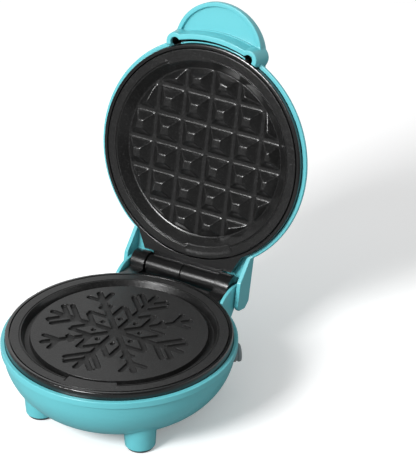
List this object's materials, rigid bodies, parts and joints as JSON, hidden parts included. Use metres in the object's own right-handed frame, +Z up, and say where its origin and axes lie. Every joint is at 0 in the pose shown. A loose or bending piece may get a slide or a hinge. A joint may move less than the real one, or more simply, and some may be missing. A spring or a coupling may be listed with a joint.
{
  "type": "mini waffle maker",
  "caption": "Small round electric waffle maker on short feet, with a domed lid on a rear pin hinge, a tongue handle and patterned non-stick cooking plates.",
  "frame": {"origin": "on the table, straight below the centre of the lower cooking plate", "axes": "+Z up, +Y back to the hinge, +X to the right seen from the front; the lid is open, as pictured"},
  "size_m": [0.127, 0.1854, 0.1916],
  "materials": {
    "housing": "satin-gloss moulded turquoise plastic",
    "liner": "fine matt black heat-proof plastic",
    "plate": "die-cast aluminium with a dark non-stick coating",
    "pad": "dark grey moulded rubber",
    "gland": "grey moulded rubber",
    "element": "drawn steel sheath, slightly oxidised",
    "shield": "plain pressed sheet",
    "fastener": "zinc-plated steel",
    "control": "ivory heat-proof plastic",
    "lead": "white silicone insulation",
    "lens": "clear red moulded plastic",
    "lamp": "clear neon lamp bulb"
  },
  "bodies": {
    "base": {"lower_housing": "housing", "foot_pad_front_left": "pad", "foot_pad_front_right": "pad", "foot_pad_rear_left": "pad", "foot_pad_rear_right": "pad", "lower_liner": "liner", "lower_cook_plate": "plate", "lower_heating_element": "element", "lower_heat_shield": "shield", "lower_plate_screws": "fastener", "housing_screws": "fastener", "thermostat": "control", "thermal_fuse": "shield", "terminal_block": "control", "element_leads": "lead", "supply_leads": "lead", "cord_gland": "gland", "hinge_pin": "fastener"},
    "lid": {"lid_housing": "housing", "upper_liner": "liner", "upper_cook_plate": "plate", "upper_heating_element": "element", "upper_heat_shield": "shield", "upper_plate_screws": "fastener", "lid_screws": "fastener", "indicator_lens": "lens", "indicator_lamp": "lamp", "lid_leads": "lead"}
  },
  "joints": [
    {"name": "lid_hinge", "type": "hinge", "parent": "base", "child": "lid", "pos_m": [0, 0.0686, 0.0449], "axis": [1, 0, 0], "range_deg": [0, 103.5]}
  ]
}
